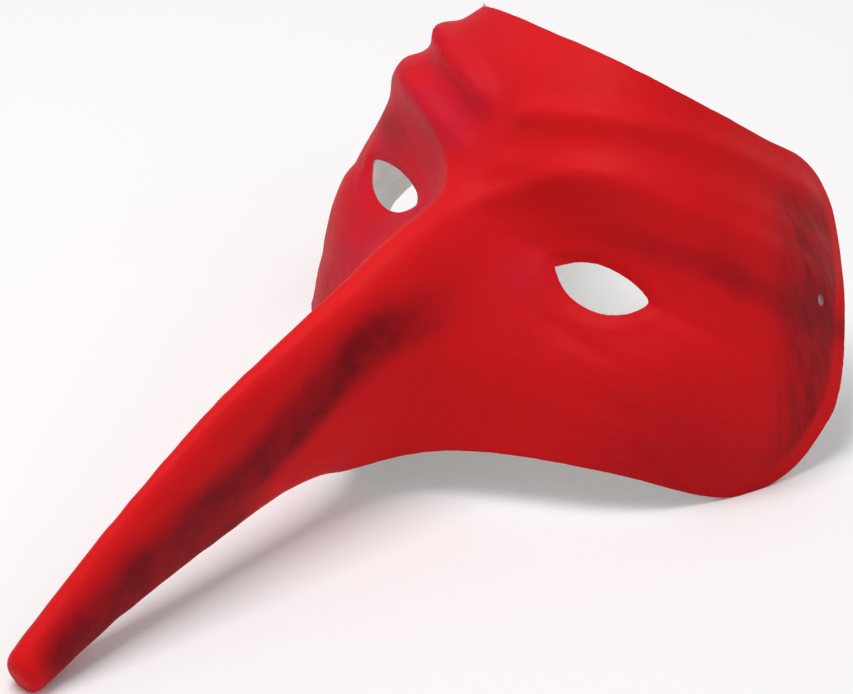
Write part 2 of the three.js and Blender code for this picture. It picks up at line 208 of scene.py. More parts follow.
# %% The horn of the nose
nose_root = np.array(NOSE["root"])
nose_run = np.array(NOSE["tip"]) - nose_root
nose_length = np.hypot(*nose_run)
nose_along = nose_run / nose_length
nose_across = np.array([-nose_along[1], nose_along[0]])


def nose_place(ahead, up):
    """How far a point lies along the nose from its root, and how far above the arched line of it."""
    offset_ahead, offset_up = ahead - nose_root[0], up - nose_root[1]
    along = offset_ahead * nose_along[0] + offset_up * nose_along[1]
    across = offset_ahead * nose_across[0] + offset_up * nose_across[1]
    t = np.clip(along / nose_length, *NOSE["arched_share"])
    return along, across - 4 * NOSE["arch"] * t * (1 - t)


def nose_distance(side, ahead, up):
    along, across = nose_place(ahead, up)
    taper = np.clip(along / nose_length, *NOSE["tapered_share"])
    belly = 4 * taper * (1 - taper)
    half_width = blend(NOSE["root_size"][0], NOSE["tip_size"][0], taper) - NOSE["slimming"] * belly
    half_height = blend(NOSE["root_size"][1], NOSE["tip_size"][1], taper) + NOSE["fullness"] * belly
    reach = np.maximum(np.hypot(side / half_width, across / half_height), TINY)
    skin = np.hypot(side, across) * (1 - 1 / reach)
    blunt = soft_max(skin, along - nose_length, NOSE["tip_rounding"])
    return soft_max(blunt, -(along + NOSE["into_face"]), NOSE["inner_rounding"])


# %% [markdown]
# The frown ridges, the brow, the eye sockets and the temples are soft waves added to the dome. The
# ridges and the brow part at the furrow in the middle and fade out towards the temples and the rim.
# The wearer's right side was pressed a little deeper into its mould, so its ridges stand prouder.

# %% Ridges and brow
def brow_line(x):
    """The height of the brow's crest, rising from the nose to the temple."""
    return BROW["level"] * (1 - np.exp(-x / BROW["reach"]))


def ridges_and_brow(side, ahead, up):
    x = np.abs(side)
    from_furrow = ramp(0, FURROW, x)
    to_right = ramp(RIDGES["change_over"], -RIDGES["change_over"], side)
    ridge_height = blend(RIDGES["left"], RIDGES["right"], to_right)
    crest = RIDGES["start"] + RIDGES["climb"] * x
    ridges = bump(up, crest, RIDGES["half_width"])
    upper = bump(up, crest + RIDGES["spacing"], RIDGES["half_width"])
    ridges = ridges + RIDGES["upper_share"] * upper
    ridges = ridge_height * ridges * from_furrow * ramp(*RIDGES["ends"], x)
    brow = BROW["height"] * from_furrow * ramp(*BROW["ends"], x)
    brow = brow * bump(up, brow_line(x), BROW["half_width"])
    return (ridges + brow) * ramp(*RIM_FADE, ahead)


# %% Sockets and temples
def temples_and_sockets(side, up):
    x = np.abs(side)
    from_eye = up - SOCKET["up"]
    half_height = np.where(from_eye > 0, SOCKET["half_up"], SOCKET["half_down"])
    reach = ((x - SOCKET["side"]) / SOCKET["half_width"]) ** 2 + (from_eye / half_height) ** 2
    socket = SOCKET["depth"] * np.exp(-reach ** SOCKET["fullness"])
    temple = TEMPLE["height"] * bump(x, TEMPLE["side"], TEMPLE["half_width"])
    temple = temple * bump(up, TEMPLE["up"], TEMPLE["half_height"])
    return temple, socket


# %% The whole form
def relief(side, ahead, up):
    temple, socket = temples_and_sockets(side, up)
    return ridges_and_brow(side, ahead, up) + temple - socket


def form_distance(worn):
    side, ahead, up = worn.T
    skin = face_distance(side, ahead, up) - relief(side, ahead, up)
    face = soft_max(skin, FACE["bottom"] - up, FACE["bottom_rounding"])
    softness = blend(NOSE["web_blend"], NOSE["bridge_blend"],
                     ramp(NOSE["web_up"], NOSE["bridge_up"], up))
    whole = soft_min(face, nose_distance(side, ahead, up), softness)
    return soft_max(whole, up - FACE["closed_above"], FACE["closed_rounding"])


def outward(worn, step=0.4, least_slope=0.3):
    """The direction square to the skin, and the true distance to it."""
    slopes = []
    for axis in range(3):
        shift = np.zeros(3)
        shift[axis] = step
        slopes.append((form_distance(worn + shift) - form_distance(worn - shift)) / (2 * step))
    slope = np.stack(slopes, -1)
    steepness = np.maximum(np.linalg.norm(slope, axis=1), least_slope)
    return slope / steepness[:, None], form_distance(worn) / steepness


# %% [markdown]
# ## Roughing out
# The work starts as a carver starts, with a block a little too large: a ball for the head and a flat
# cone for the nose. A voxel remesh makes one skin of the two, and the skin is drawn in onto the form.
# A second, finer remesh spreads its small squares evenly, and it is drawn onto the form once more.

# %% Ball and cone
BALL = dict(middle=(0, -53, -8), half_size=(0.078, 0.067, 0.074))
CONE = dict(lift=5, longer_by=10, tip_radius=0.010, root_radius=0.031, flatness=0.62)

bpy.ops.object.select_all(action="DESELECT")
bpy.ops.mesh.primitive_uv_sphere_add(
    segments=48, ring_count=24, radius=1,
    location=upright(BALL["middle"]), scale=BALL["half_size"])
ball = bpy.context.object
nose_middle = (nose_root + np.array(NOSE["tip"])) / 2 + CONE["lift"] * nose_across
nose_tilt = math.atan2(nose_along[0], -nose_along[1])
bpy.ops.mesh.primitive_cone_add(
    vertices=32, radius1=CONE["tip_radius"], radius2=CONE["root_radius"],
    depth=(nose_length + CONE["longer_by"]) / 1000,
    location=upright((0, *nose_middle)), rotation=(-nose_tilt, 0, 0), scale=(CONE["flatness"], 1, 1))
cone = bpy.context.object
ball.select_set(True)
bpy.context.view_layer.objects.active = ball
bpy.ops.object.join()
mask = bpy.context.object
mask.name = "painted_mask"
bpy.ops.object.transform_apply(location=True, rotation=True, scale=True)


# %% Remesh and draw onto the form
ROUGH_VOXEL = 0.0025
FINE_VOXEL = 0.00095


def apply_modifier(thing, kind, **settings):
    modifier = thing.modifiers.new(kind.lower(), kind)
    for key, value in settings.items():
        setattr(modifier, key, value)
    bpy.context.view_layer.objects.active = thing
    bpy.ops.object.modifier_apply(modifier=modifier.name)


def settle(thing, rounds, reach):
    """Draws each point onto the form, by no more than reach a round."""
    worn = read_worn(thing)
    for _ in range(rounds):
        direction, height = outward(worn)
        worn = worn - direction * np.clip(height, -reach, reach)[:, None]
    write_worn(thing, worn)


for voxel in (ROUGH_VOXEL, FINE_VOXEL):
    apply_modifier(mask, "REMESH", mode="VOXEL", voxel_size=voxel)
    settle(mask, rounds=8, reach=4)
    apply_modifier(mask, "SMOOTH", factor=0.5, iterations=2)
    settle(mask, rounds=2, reach=1)
print("closed form:", len(mask.data.polygons), "faces")


# %% [markdown]
# ## Trimming
# A pressed shell is trimmed with shears and pierced for the eyes and the ribbon. Here each cut is a
# rod, because a boolean with a rod cuts as cleanly as a blade. The rim's rod has the outline of the
# rim in side view, with straight runs and rounded corners. The eye holes are almonds, drawn with
# curves. The wearer's left one came out a little shorter. The holes for the ribbon are small and
# round.

# %% Outlines of the cuts
EYES = [
    dict(sign=1, inner=(23.1, -0.5), outer=(45.9, 1.7), upper_lid=3.9, lower_lid=6.5),
    dict(sign=-1, inner=(22.2, -1.7), outer=(49.1, 3.5), upper_lid=3.1, lower_lid=6.3),
]
RIM_CORNERS = [
    ((160, 50.6), 0), ((-12, 47.8), 25), ((-57.0, 50.0), 20), ((-44, -29.4), 18),
    ((-3.4, -39.1), 18), ((33, -91.5), 4), ((40, -160), 0), ((160, -160), 0),
]
TIE = dict(ahead=-42.2, up=20.4, radius=1.5, corners=16)
LOWER_BOW = (0.2, 0.8)
UPPER_BOW = (0.75, 0.2)
LID_POINTS = 28
HANDLE = 2 / 3


def curve(points, count=16):
    """A Bezier curve through its first and last point."""
    t = np.linspace(0, 1, count)[:, None]
    a, b, c, d = (np.array(p, float) for p in points)
    return a * (1 - t) ** 3 + 3 * b * t * (1 - t) ** 2 + 3 * c * t ** 2 * (1 - t) + d * t ** 3


def almond(eye):
    """Two curves between the corners. A curve rises to three quarters of its handles' height."""
    inner, outer = np.array(eye["inner"], float), np.array(eye["outer"], float)
    across = outer - inner
    square = np.array([-across[1], across[0]]) / np.hypot(*across)

    def lid(start, end, bow, rise):
        handles = [inner + share * across + rise * 4 / 3 * square for share in bow]
        return curve([start, *handles, end], LID_POINTS)

    low = lid(inner, outer, LOWER_BOW, -eye["lower_lid"])
    high = lid(outer, inner, UPPER_BOW, eye["upper_lid"])
    return np.vstack([low[:-1], high[:-1]]) * [eye["sign"], 1]


def rounded(corners):
    """The outline with each corner rounded off, starting that far before it."""
    rows = []
    for i, (corner, rounding) in enumerate(corners):
        here = np.array(corner, float)
        if not rounding:
            rows.append(here[None])
            continue
        back = np.array(corners[i - 1][0]) - here
        forth = np.array(corners[(i + 1) % len(corners)][0]) - here
        start = here + back / np.hypot(*back) * rounding
        end = here + forth / np.hypot(*forth) * rounding
        rows.append(curve([start, blend(start, here, HANDLE), blend(end, here, HANDLE), end]))
    return np.vstack(rows)


# %% A rod with any outline
cut_face = bpy.data.materials.new("cut_face")


def rod(name, outline, low, high, along_side):
    """A rod from low to high, either along the side or along ahead, with an outline across it."""
    ends = []
    for end in (low, high):
        for a, b in outline:
            ends.append(upright((end, a, b) if along_side else (a, end, b)))
    count = len(outline)
    faces = [list(range(count)), list(range(count, 2 * count))]
    for i in range(count):
        j = (i + 1) % count
        faces.append([i, j, count + j, count + i])
    mesh = bpy.data.meshes.new(name)
    mesh.from_pydata(ends, [], faces)
    mesh.materials.append(cut_face)
    thing = bpy.data.objects.new(name, mesh)
    bpy.context.scene.collection.objects.link(thing)
    bpy.ops.object.select_all(action="DESELECT")
    thing.select_set(True)
    bpy.context.view_layer.objects.active = thing
    bpy.ops.object.mode_set(mode="EDIT")
    bpy.ops.mesh.select_all(action="SELECT")
    bpy.ops.mesh.normals_make_consistent(inside=False)
    bpy.ops.object.mode_set(mode="OBJECT")
    return thing


# %% The cuts
mask.data.materials.append(bpy.data.materials.new("skin_stand_in"))
turns = np.linspace(0, 2 * np.pi, TIE["corners"], endpoint=False)
tie_outline = np.stack([np.cos(turns), np.sin(turns)], -1) * TIE["radius"] + [TIE["ahead"], TIE["up"]]
rim_rod = rod("rim_cut", rounded(RIM_CORNERS), low=-120, high=120, along_side=True)
cuts = [(rim_rod, "INTERSECT")]
for eye in EYES:
    eye_rod = rod("eye_cut", almond(eye), low=-30, high=60, along_side=False)
    cuts.append((eye_rod, "DIFFERENCE"))
for start, end in ((50, 100), (-100, -50)):
    tie_rod = rod("tie_cut", tie_outline, start, end, along_side=True)
    cuts.append((tie_rod, "DIFFERENCE"))
for cutter, operation in cuts:
    apply_modifier(mask, "BOOLEAN", operation=operation, solver="EXACT", object=cutter,
                   material_mode="TRANSFER")
    bpy.data.objects.remove(cutter)
print("trimmed:", len(mask.data.polygons), "faces", [m.name for m in mask.data.materials])

# %% [markdown]
# The faces that the rods left are taken out, and what stays is the thin outer skin, open behind and
# at the eyes. Where a cut ran close past a point of the mesh it left slivers, which are merged away.

# %% Keep the skin alone
SLIVER = 0.00025

bpy.ops.object.select_all(action="DESELECT")
mask.select_set(True)
bpy.context.view_layer.objects.active = mask
cut_slot = mask.data.materials.find("cut_face")
bpy.ops.object.mode_set(mode="EDIT")
bpy.ops.mesh.select_mode(type="FACE")
bpy.ops.mesh.select_all(action="DESELECT")
bpy.ops.object.mode_set(mode="OBJECT")
for face in mask.data.polygons:
    face.select = face.material_index == cut_slot
bpy.ops.object.mode_set(mode="EDIT")
bpy.ops.mesh.delete(type="FACE")
bpy.ops.mesh.select_all(action="SELECT")
bpy.ops.mesh.remove_doubles(threshold=SLIVER)
bpy.ops.mesh.dissolve_degenerate(threshold=SLIVER)
bpy.ops.object.mode_set(mode="OBJECT")
mask.data.materials.clear()
print("skin:", len(mask.data.polygons), "faces")

# %% [markdown]
# ## Rubbed edges
# A maker takes the burr off a cut with fine paper. Merging the slivers left small teeth along the
# edges, so each point of an open edge is drawn half way to the middle of its two neighbours, a few
# times over. The sharp corners of the eye holes stay.

# %% Open edges, rubbed smooth
def open_edges(thing):
    """The two ends of each edge that has a face on one side only."""
    mesh = thing.data
    edge_of_loop = np.empty(len(mesh.loops), int)
    mesh.loops.foreach_get("edge_index", edge_of_loop)
    ends = np.empty(len(mesh.edges) * 2, int)
    mesh.edges.foreach_get("vertices", ends)
    is_open = np.bincount(edge_of_loop, minlength=len(mesh.edges)) == 1
    return ends.reshape(-1, 2)[is_open]


def rub_edges(thing, rounds, sharp=0.35):
    """Evens out the small teeth of a cut. A pull longer than sharp is a true corner and stays."""
    worn = read_worn(thing)
    first, second = open_edges(thing).T
    on_edge = np.unique(np.append(first, second))
    for _ in range(rounds):
        neighbours = np.zeros_like(worn)
        np.add.at(neighbours, first, worn[second])
        np.add.at(neighbours, second, worn[first])
        pull = neighbours[on_edge] / 2 - worn[on_edge]
        pull[np.linalg.norm(pull, axis=1) > sharp] = 0
        worn[on_edge] += pull / 2
    write_worn(thing, worn)


rub_edges(mask, rounds=6)
print("open edges:", len(open_edges(mask)))


# %% [markdown]
# ## Hand-made relief
# Paper pulp doesn't dry flat. Low waves and lumps, a soft lip round each eye hole, two creases under
# the eyes and the turned-out rim make the difference between a machined shape and a moulded one.
# Random-looking waves are sums of sines, so that every run gives the same mask. Much of this depends
# on how far the nearest edge is, so that is measured first. A pair of numbers for a place gives the
# middle of a wave and its half width.

# %% How far the edges are
EYE_ZONE = dict(side=(18, 52), half_height=12)
TIE_ZONE = 3


def along_edges(thing):
    first, second = read_worn(thing)[open_edges(thing).T]
    return np.vstack([blend(first, second, share) for share in (0, 0.25, 0.5, 0.75)])


def gap_to(points, worn):
    tree = KDTree(len(points))
    for i, point in enumerate(points):
        tree.insert(point, i)
    tree.balance()
    return np.array([tree.find(point)[2] for point in worn])


worn = read_worn(mask)
edge_points = along_edges(mask)
side, ahead, up = edge_points.T
inner, outer = EYE_ZONE["side"]
at_eye = (np.abs(side) > inner) & (np.abs(side) < outer) & (np.abs(up) < EYE_ZONE["half_height"])
at_tie = np.hypot(ahead - TIE["ahead"], up - TIE["up"]) < TIE_ZONE
rim_away = gap_to(edge_points[~at_eye & ~at_tie], worn)
eyes_away = gap_to(edge_points[at_eye], worn)
print("edge points:", len(edge_points), "of them at the eyes", int(at_eye.sum()))


# %% Waves and lumps
def waves(worn, length, seed, count=7):
    """Smooth unevenness between about -1 and 1, with bumps about as long as length."""
    draw = np.random.default_rng(seed)
    total = np.zeros(len(worn))
    for _ in range(count):
        heading = draw.normal(size=3)
        heading = heading / np.linalg.norm(heading)
        pitch = 2 * np.pi / (length * draw.uniform(0.75, 1.5))
        total = total + np.sin(worn @ heading * pitch + draw.uniform(0, 2 * np.pi))
    return total / math.sqrt(count)


# %% The rim, turned out
FLARE = dict(width=6, height=1, upper_end=34, front_end=-8, fade=18)


def flare(worn, rim_away):
    behind = ramp(FLARE["front_end"], FLARE["front_end"] - FLARE["fade"], worn[:, 1])
    below = ramp(FLARE["upper_end"], FLARE["upper_end"] - FLARE["fade"], worn[:, 2])
    return FLARE["height"] * behind * below * np.maximum(1 - rim_away / FLARE["width"], 0) ** 2


# %% Lids, creases and the crest of the nose
NOSE_STARTS = (12, 40)
CREST = dict(swell=0.5, swell_at=(108, 18), dip=1.9, dip_at=(42, 24))
LID = dict(offset=3.2, half_width=2.2, height=0.5)
POUCH = dict(depth=0.5, level=-13, slope=0.1, slope_from=30, curl=0.006, curl_from=34,
             half_width=1.8, at_side=(33, 15))
CHEEK = dict(depth=0.45, level=-25, slope=0.12, slope_from=40, half_width=2.4, at_side=(52, 13))


def facing_up(direction):
    """From 0 to 1, how squarely the skin faces the upper side of the nose."""
    return np.clip(direction[:, 1:] @ nose_across, 0, 1) ** 2


def lids_and_creases(worn, direction, eyes_away):
    side, ahead, up = worn.T
    x = np.abs(side)
    off_nose = 1 - ramp(*NOSE_STARTS, ahead)
    along = nose_place(ahead, up)[0]
    swell = CREST["swell"] * bump(along, *CREST["swell_at"])
    dip = CREST["dip"] * bump(along, *CREST["dip_at"])
    crest = (swell - dip) * facing_up(direction)
    lid = LID["height"] * bump(eyes_away, LID["offset"], LID["half_width"]) * off_nose
    pouch_line = POUCH["level"] - POUCH["slope"] * (x - POUCH["slope_from"])
    pouch_line = pouch_line + POUCH["curl"] * (x - POUCH["curl_from"]) ** 2
    pouch = -POUCH["depth"] * bump(up, pouch_line, POUCH["half_width"])
    pouch = pouch * bump(x, *POUCH["at_side"]) * off_nose
    cheek_line = CHEEK["level"] + CHEEK["slope"] * (x - CHEEK["slope_from"])
    cheek = -CHEEK["depth"] * bump(up, cheek_line, CHEEK["half_width"]) * bump(x, *CHEEK["at_side"])
    return crest + lid + pouch + cheek


# %% Pulp that dried unevenly
def pulp(worn):
    broad = 0.14 * waves(worn, length=26, seed=3) + 0.05 * waves(worn, length=11, seed=5)
    lumps = 0.06 * waves(worn, length=7.5, seed=8) * ramp(*NOSE_STARTS, worn[:, 1])
    return broad, lumps


direction = outward(worn)[0]
broad, lumps = pulp(worn)
raised = flare(worn, rim_away) + (lids_and_creases(worn, direction, eyes_away) + broad + lumps)
worn = worn + direction * raised[:, None]
write_worn(mask, worn)
print("relief:", round(raised.min(), 2), "to", round(raised.max(), 2), "mm")

# %% [markdown]
# ## The wall
# The skin will get its wall towards the inside, from a Solidify modifier. Round the eye holes the
# wall is pared thin from behind, as a maker does so that no thick edge shows there, and at the rim
# it is a little thinner too. The share of the full wall is a weight on each point.

# %% How thick the wall is
WALL = 2.2
PARED_AT_EYES = 0.42
PARED_AT_RIM = 0.8
PARED_REACH = 4.0

wall_share = 1 - (1 - PARED_AT_EYES) * bump(eyes_away, 0, PARED_REACH)
wall_share = wall_share * (1 - (1 - PARED_AT_RIM) * bump(rim_away, 0, PARED_REACH))
wall_group = mask.vertex_groups.new(name="wall")
for index, share in enumerate(wall_share):
    wall_group.add([index], float(share), "REPLACE")

# %% [markdown]
# ## Marks for the painter
# The paint will have to know where it is: on the nose or on its crest, which gets a painted highlight;
# in the painted shade along the flank of the nose, on the side wall, under the brow and low on the
# face; on the side with a painted rose reflection; or at an edge. Such marks are stored on the mesh as
# attributes, one number a point. Those of the skin are stored before the wall is made, so that both
# faces of the wall carry them. A pair of numbers says where a mark starts and where it is full, or for
# a spot its middle and its half width.

# %% Marks along the nose
NOSE_PAINT = (8, 42)
# Sizes of the painted shade along the flank of the nose.
SHADE_STRIPE = dict(rise=10, rises=(80, 32), half_width=11, core_above=1, core_below=2,
              starts=(-5, 45), ends=(149, 139), widens=(66, 92), facing_side=(0.15, 0.6))


def store(name, values):
    attribute = mask.data.attributes.new(name, "FLOAT", "POINT")
    attribute.data.foreach_set("value", values.astype(np.float32))


side, ahead, up = worn.T
x = np.abs(side)
on_nose = ramp(*NOSE_PAINT, ahead)
along, across = nose_place(ahead, up)
# The dark streak along the nose is painted shade, on the flank that turns away from the light.
middle = SHADE_STRIPE["rise"] * ramp(*SHADE_STRIPE["rises"], along)
shade_stripe = ramp(middle + SHADE_STRIPE["half_width"], middle + SHADE_STRIPE["core_above"], across)
shade_stripe = shade_stripe * ramp(*SHADE_STRIPE["starts"], along) * ramp(*SHADE_STRIPE["ends"], along)
lower_edge = ramp(middle - SHADE_STRIPE["half_width"], middle - SHADE_STRIPE["core_below"], across)
shade_stripe = shade_stripe * blend(lower_edge, 1, ramp(*SHADE_STRIPE["widens"], along))
store("nose", on_nose)
# Where the nose faces upward it gets a lighter red, a painted highlight.
store("crest", on_nose * facing_up(direction))
store("shade_stripe", shade_stripe * ramp(*SHADE_STRIPE["facing_side"], np.abs(direction[:, 0])))

# %% Marks on the face
# Painted shade on the side wall, which turns away from the light.
SIDE_SHADE_BAND = dict(slant=(0.7, -0.56, 0.44), from_rim=(2.8, 5.2), starts=(58, 73), below=(47, 36))
SHADOW = dict(below_crest=10.5, half_width=4.5, starts=(16, 50), ends=(74, 64))
# Painted shade, darker towards the bottom of the face and more so towards its sides.
LOW_SHADE = dict(everywhere=0.6, falls=(0, -34), at_sides=0.5, side_falls=(0, -24), sides=(30, 66),
           behind_nose=(20, 0))
# A painted reflection of cool light: a rose tint on the wearer's right side and in one spot beside the
# nose.
ROSE_REFLECTION = dict(side=(14, -22), spot=0.6, spot_side=(18, 8), spot_up=(-3, 9), behind_nose=(45, 20))
EDGE_WIDTH = 1.6

# The painted shade on the side wall starts a little in from the rim; its side strokes streak it.
to_rear = SIDE_SHADE_BAND["slant"][0] * x + SIDE_SHADE_BAND["slant"][1] * ahead + SIDE_SHADE_BAND["slant"][2] * up
side_shade_band = ramp(*SIDE_SHADE_BAND["from_rim"], rim_away) * ramp(*SIDE_SHADE_BAND["starts"], to_rear) * ramp(*SIDE_SHADE_BAND["below"], up)
# Painted shade under the brow, over the eye socket.
shade_below_brow = bump(up, brow_line(x) - SHADOW["below_crest"], SHADOW["half_width"])
shade_below_brow = shade_below_brow * ramp(*SHADOW["starts"], x) * ramp(*SHADOW["ends"], x)
at_sides = LOW_SHADE["at_sides"] * ramp(*LOW_SHADE["side_falls"], up) * ramp(*LOW_SHADE["sides"], x)
low = LOW_SHADE["everywhere"] * ramp(*LOW_SHADE["falls"], up) + at_sides
spot = ROSE_REFLECTION["spot"] * bump(side, *ROSE_REFLECTION["spot_side"]) * bump(up, *ROSE_REFLECTION["spot_up"])
rose_reflection = ramp(*ROSE_REFLECTION["side"], side) + spot
store("side_shade_band", side_shade_band)
store("edge", bump(np.minimum(rim_away, eyes_away), 0, EDGE_WIDTH))
store("shade_below_brow", shade_below_brow * (1 - on_nose))
# The mark named low is that painted shade, kept off the nose.
store("low", low * ramp(*LOW_SHADE["behind_nose"], ahead))
store("rose_reflection", rose_reflection * ramp(*ROSE_REFLECTION["behind_nose"], ahead))
print("marks:", [a.name for a in mask.data.attributes if a.data_type == "FLOAT"])

# %% [markdown]
# Now the wall is made. Solidify puts the inner skin after the outer one in the list of points, which
# is how the inside gets its mark, and the points of the cut edges are softened once.

# %% Wall
outer_count = len(mask.data.vertices)
mask.vertex_groups.new(name="rim_edge")
apply_modifier(mask, "SOLIDIFY", thickness=WALL / 1000, offset=-1, use_even_offset=False,
               use_quality_normals=True, vertex_group="wall", rim_vertex_group="rim_edge")
apply_modifier(mask, "SMOOTH", factor=0.5, iterations=1, vertex_group="rim_edge")
is_inside = np.arange(len(mask.data.vertices)) >= outer_count
store("inside", is_inside.astype(float))
mask.vertex_groups.clear()
print("with its wall:", len(mask.data.polygons), "faces")

# %% [markdown]
# ## Lying down
# Now the mask is laid on its nose and its cheeks, and the three places that touch are pressed flat.
# Faces that meet at less than a set angle are shaded as one smooth skin.

# %% Lay it down
SMOOTH_BELOW = math.radians(50)

mask.data.transform(lay_down)
for vertex in mask.data.vertices:
    vertex.co.z = max(vertex.co.z, 0)
bpy.ops.object.select_all(action="DESELECT")
mask.select_set(True)
bpy.context.view_layer.objects.active = mask
bpy.ops.object.shade_smooth_by_angle(angle=SMOOTH_BELOW)


# %% [markdown]
# ## Writing a material as sums
# Shader nodes can be written as plain expressions: one small class wraps a socket, and adding or
# multiplying two values adds the Math node that does it. The reflected forms let a plain number
# stand first.

# %% A socket that can be added and multiplied
class Value:
    def __init__(self, nodes, socket):
        self.nodes, self.socket = nodes, socket

    def math(self, operation, a, b):
        return self.nodes.add("ShaderNodeMath", {"operation": operation}, {0: a, 1: b})

    def __add__(self, other):
        return self.math("ADD", self, other)

    def __radd__(self, other):
        return self.math("ADD", other, self)

    def __mul__(self, other):
        return self.math("MULTIPLY", self, other)

    def __rmul__(self, other):
        return self.math("MULTIPLY", other, self)


# %% The nodes of a material
# A Mix node has a set of sockets for each kind of data, all with the same names, so they go by number.
MIX_SHARE = 0
MIX_NUMBERS = (2, 3)
MIX_COLOURS = (6, 7)
MIXED_COLOUR = 2


class Nodes:
    """A material's nodes, added one at a time."""

    def __init__(self, name):
        self.material = bpy.data.materials.new(name)
        self.material.use_nodes = True
        self.tree = self.material.node_tree
        self.shader = self.tree.nodes["Principled BSDF"]

    def add(self, kind, settings=None, inputs=None, output=0):
        node = self.tree.nodes.new(kind)
        for key, setting in (settings or {}).items():
            setattr(node, key, setting)
        for key, value in (inputs or {}).items():
            self.feed(node.inputs[key], value)
        return Value(self, node.outputs[output])

    def feed(self, socket, value):
        if isinstance(value, Value):
            self.tree.links.new(value.socket, socket)
        else:
            socket.default_value = value

    def mark(self, name):
        return self.add("ShaderNodeAttribute", {"attribute_name": name}, output="Fac")

    def noise(self, vector, scale, detail, roughness):
        return self.add("ShaderNodeTexNoise", {}, {
            "Vector": vector, "Scale": scale, "Detail": detail, "Roughness": roughness})

    def stretched(self, vector, turn, scale):
        """The position, turned and then squeezed, so that a noise on it runs in streaks."""
        return self.add("ShaderNodeMapping", {"vector_type": "TEXTURE"}, {
            "Vector": vector, "Rotation": turn, "Scale": scale})

    def contrast(self, value, low, high):
        return self.add("ShaderNodeMapRange", {"interpolation_type": "SMOOTHSTEP"}, {
            "Value": value, "From Min": low, "From Max": high})

    def mix_colour(self, share, first, second):
        return self.add("ShaderNodeMix", {"data_type": "RGBA"}, {
            MIX_SHARE: share, MIX_COLOURS[0]: first, MIX_COLOURS[1]: second}, output=MIXED_COLOUR)

    def mix_value(self, share, first, second):
        return self.add("ShaderNodeMix", {"data_type": "FLOAT"}, {
            MIX_SHARE: share, MIX_NUMBERS[0]: first, MIX_NUMBERS[1]: second})


# %% [markdown]
# ## Brushed red paint
# The paint was put on with a coarse brush: across the forehead and the cheeks, up and down on the
# side walls, and along the nose. A brush stroke is a noise stretched along the way the brush went.
# Where strokes overlap the red is deeper. The deeper red under the brow and low on the face is
# painted shade, and so is the wine red along the flank of the nose and on the side walls, where the
# side strokes streak it. The crest of the nose is painted lighter, a painted highlight, and the
# wearer's right side has a painted rose reflection. Inside, the pale primed paper was left bare. The
# length of a stroke and the width of a bristle are in metres, as the Object coordinates are.

# %% Directions of the brush
STROKE = 0.016
HAIR = 0.0011
FACE_BRUSH = (STROKE, HAIR * 1.4, HAIR * 1.4)
SIDE_BRUSH = (HAIR * 3, HAIR * 2.2, STROKE * 2)
NOSE_BRUSH = (HAIR, STROKE, HAIR)
SIDE_STROKES_LEAN = math.radians(38)

paint = Nodes("painted_papier_mache")
place = paint.add("ShaderNodeTexCoord", output="Object")
side_turn = SIDE_STROKES_LEAN - TIP_BACK
nose_turn = TIP_BACK - math.atan2(-nose_along[1], nose_along[0])
across_face = paint.stretched(place, (0, 0, 0), FACE_BRUSH)
up_sides = paint.stretched(place, (side_turn, 0, 0), SIDE_BRUSH)
along_nose = paint.stretched(place, (nose_turn, 0, 0), NOSE_BRUSH)
print("nose slopes", round(math.degrees(nose_turn), 1), "degrees as it lies")

# %% Marks, strokes, clouds and blotches
BRISTLES = dict(scale=1.0, detail=4, roughness=0.6)

inside = paint.mark("inside")
nose = paint.mark("nose")
shade_stripe = paint.mark("shade_stripe")
side_shade_band = paint.mark("side_shade_band")
edge = paint.mark("edge")
shade_below_brow = paint.mark("shade_below_brow")
low = paint.mark("low")
crest = paint.mark("crest")
rose_reflection = paint.mark("rose_reflection")

face_strokes = paint.noise(across_face, **BRISTLES)
side_strokes = paint.noise(up_sides, **BRISTLES)
nose_strokes = paint.noise(along_nose, **BRISTLES)
strokes = paint.mix_value(nose, paint.mix_value(side_shade_band, face_strokes, side_strokes), nose_strokes)
clouds = paint.noise(place, scale=38, detail=3, roughness=0.55)
blotches = paint.noise(place, scale=120, detail=4, roughness=0.6)

# %% [markdown]
# The colour is mixed as on a palette: bright red first, lighter on the crest as a painted highlight,
# then a share of rose for the painted reflection, of deep red for thick strokes, clouds and painted
# shade, and of wine red for painted shade and a few dark blotches at the edges, laid over it. Each
# share is a sum of marks and noises, times how strongly each one counts, and one soft contrast from 0
# to 1 keeps the sum within bounds.

# %% Shares of the colours
# Deep red: thick strokes and clouds, and painted shade under the brow, low on the face and on the side
# wall.
deep_and_shade_share = (
    0.14 * paint.contrast(strokes, low=0.4, high=0.8)
    + 0.22 * paint.contrast(clouds, low=0.45, high=0.75)
    + 0.50 * shade_below_brow
    + 0.45 * low
    + 0.35 * side_shade_band
)
# Wine red: painted shade along the flank of the nose and on the side wall, and a few dark blotches at
# the edges.
wine_shade_share = (
    shade_stripe * (0.66 + 0.22 * paint.contrast(blotches, low=0.38, high=0.68))
    + side_shade_band * (0.40 + 0.22 * paint.contrast(side_strokes, low=0.35, high=0.65))
    + 0.12 * edge * paint.contrast(blotches, low=0.4, high=0.6)
)
# Rose: a painted reflection of cool light.
reflection_share = rose_reflection * (0.35 + 0.55 * paint.contrast(clouds, low=0.42, high=0.62))
paper_share = paint.contrast(blotches, low=0.4, high=0.65)

# %% Colour
BRIGHT_RED = (0.60, 0.007, 0.010, 1)
LIT_CREST_RED = (0.72, 0.009, 0.011, 1)
REFLECTION_ROSE = (0.55, 0.010, 0.032, 1)
DEEP_AND_SHADE_RED = (0.30, 0.005, 0.009, 1)
WINE_SHADE_RED = (0.17, 0.004, 0.009, 1)
LIGHT_PAPER = (0.90, 0.89, 0.87, 1)
DARK_PAPER = (0.82, 0.80, 0.76, 1)

